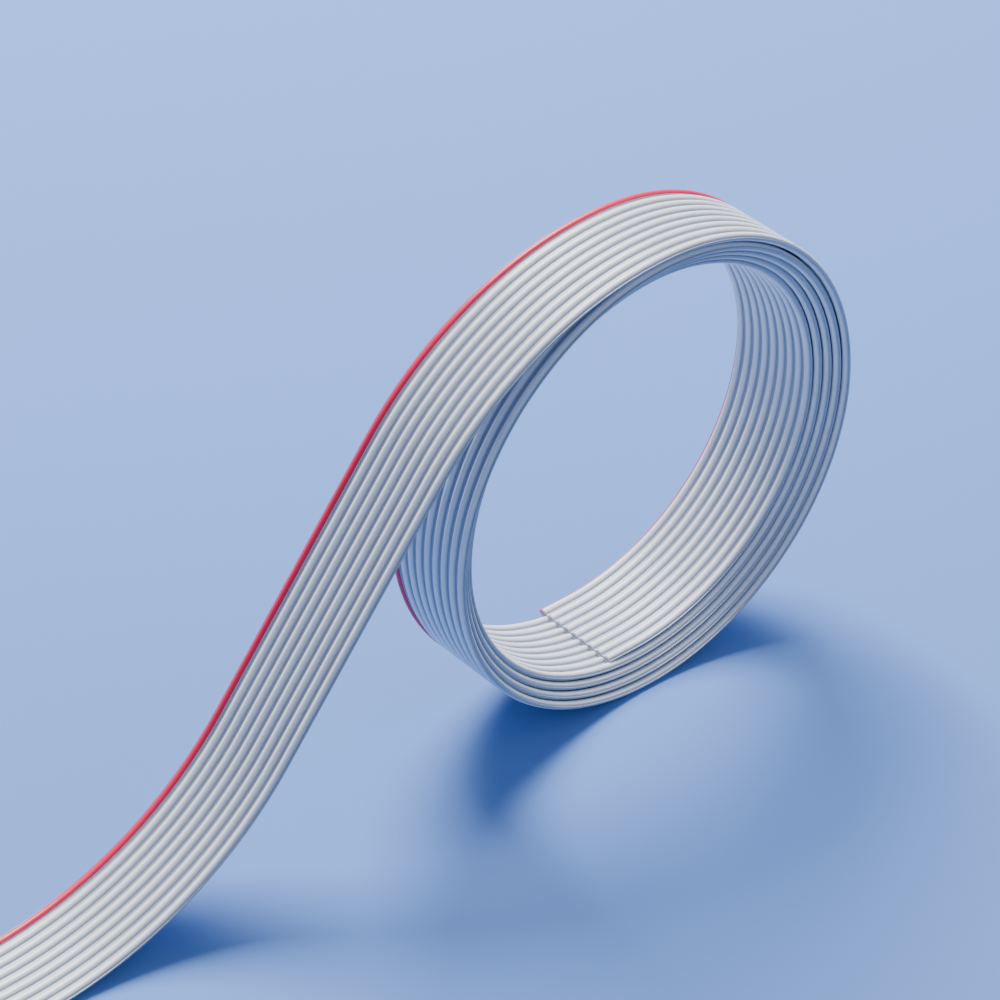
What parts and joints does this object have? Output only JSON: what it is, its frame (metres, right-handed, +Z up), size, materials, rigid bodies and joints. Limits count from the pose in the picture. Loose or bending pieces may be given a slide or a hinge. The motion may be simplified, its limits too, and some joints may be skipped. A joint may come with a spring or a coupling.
{
  "type": "ribbon cable",
  "caption": "Flat ribbed ribbon cable wound on edge into an open upright coil, with a red marker stripe and a loose end that sweeps down to the table.",
  "frame": {"origin": "on the table under the middle of the part's box", "axes": "+X from the loose end toward the coil, +Y toward the striped edge, +Z up"},
  "size_m": [0.1234, 0.0142, 0.0559],
  "materials": {
    "grey_pvc": "satin soft PVC",
    "red_pvc": "satin soft PVC, red",
    "tinned_copper": "bright tinned copper"
  },
  "bodies": {
    "root": {"insulation": "grey_pvc", "marker_stripe": "red_pvc", "conductor_1": "tinned_copper", "conductor_2": "tinned_copper", "conductor_3": "tinned_copper", "conductor_4": "tinned_copper", "conductor_5": "tinned_copper", "conductor_6": "tinned_copper", "conductor_7": "tinned_copper", "conductor_8": "tinned_copper", "conductor_9": "tinned_copper"}
  },
  "joints": []
}
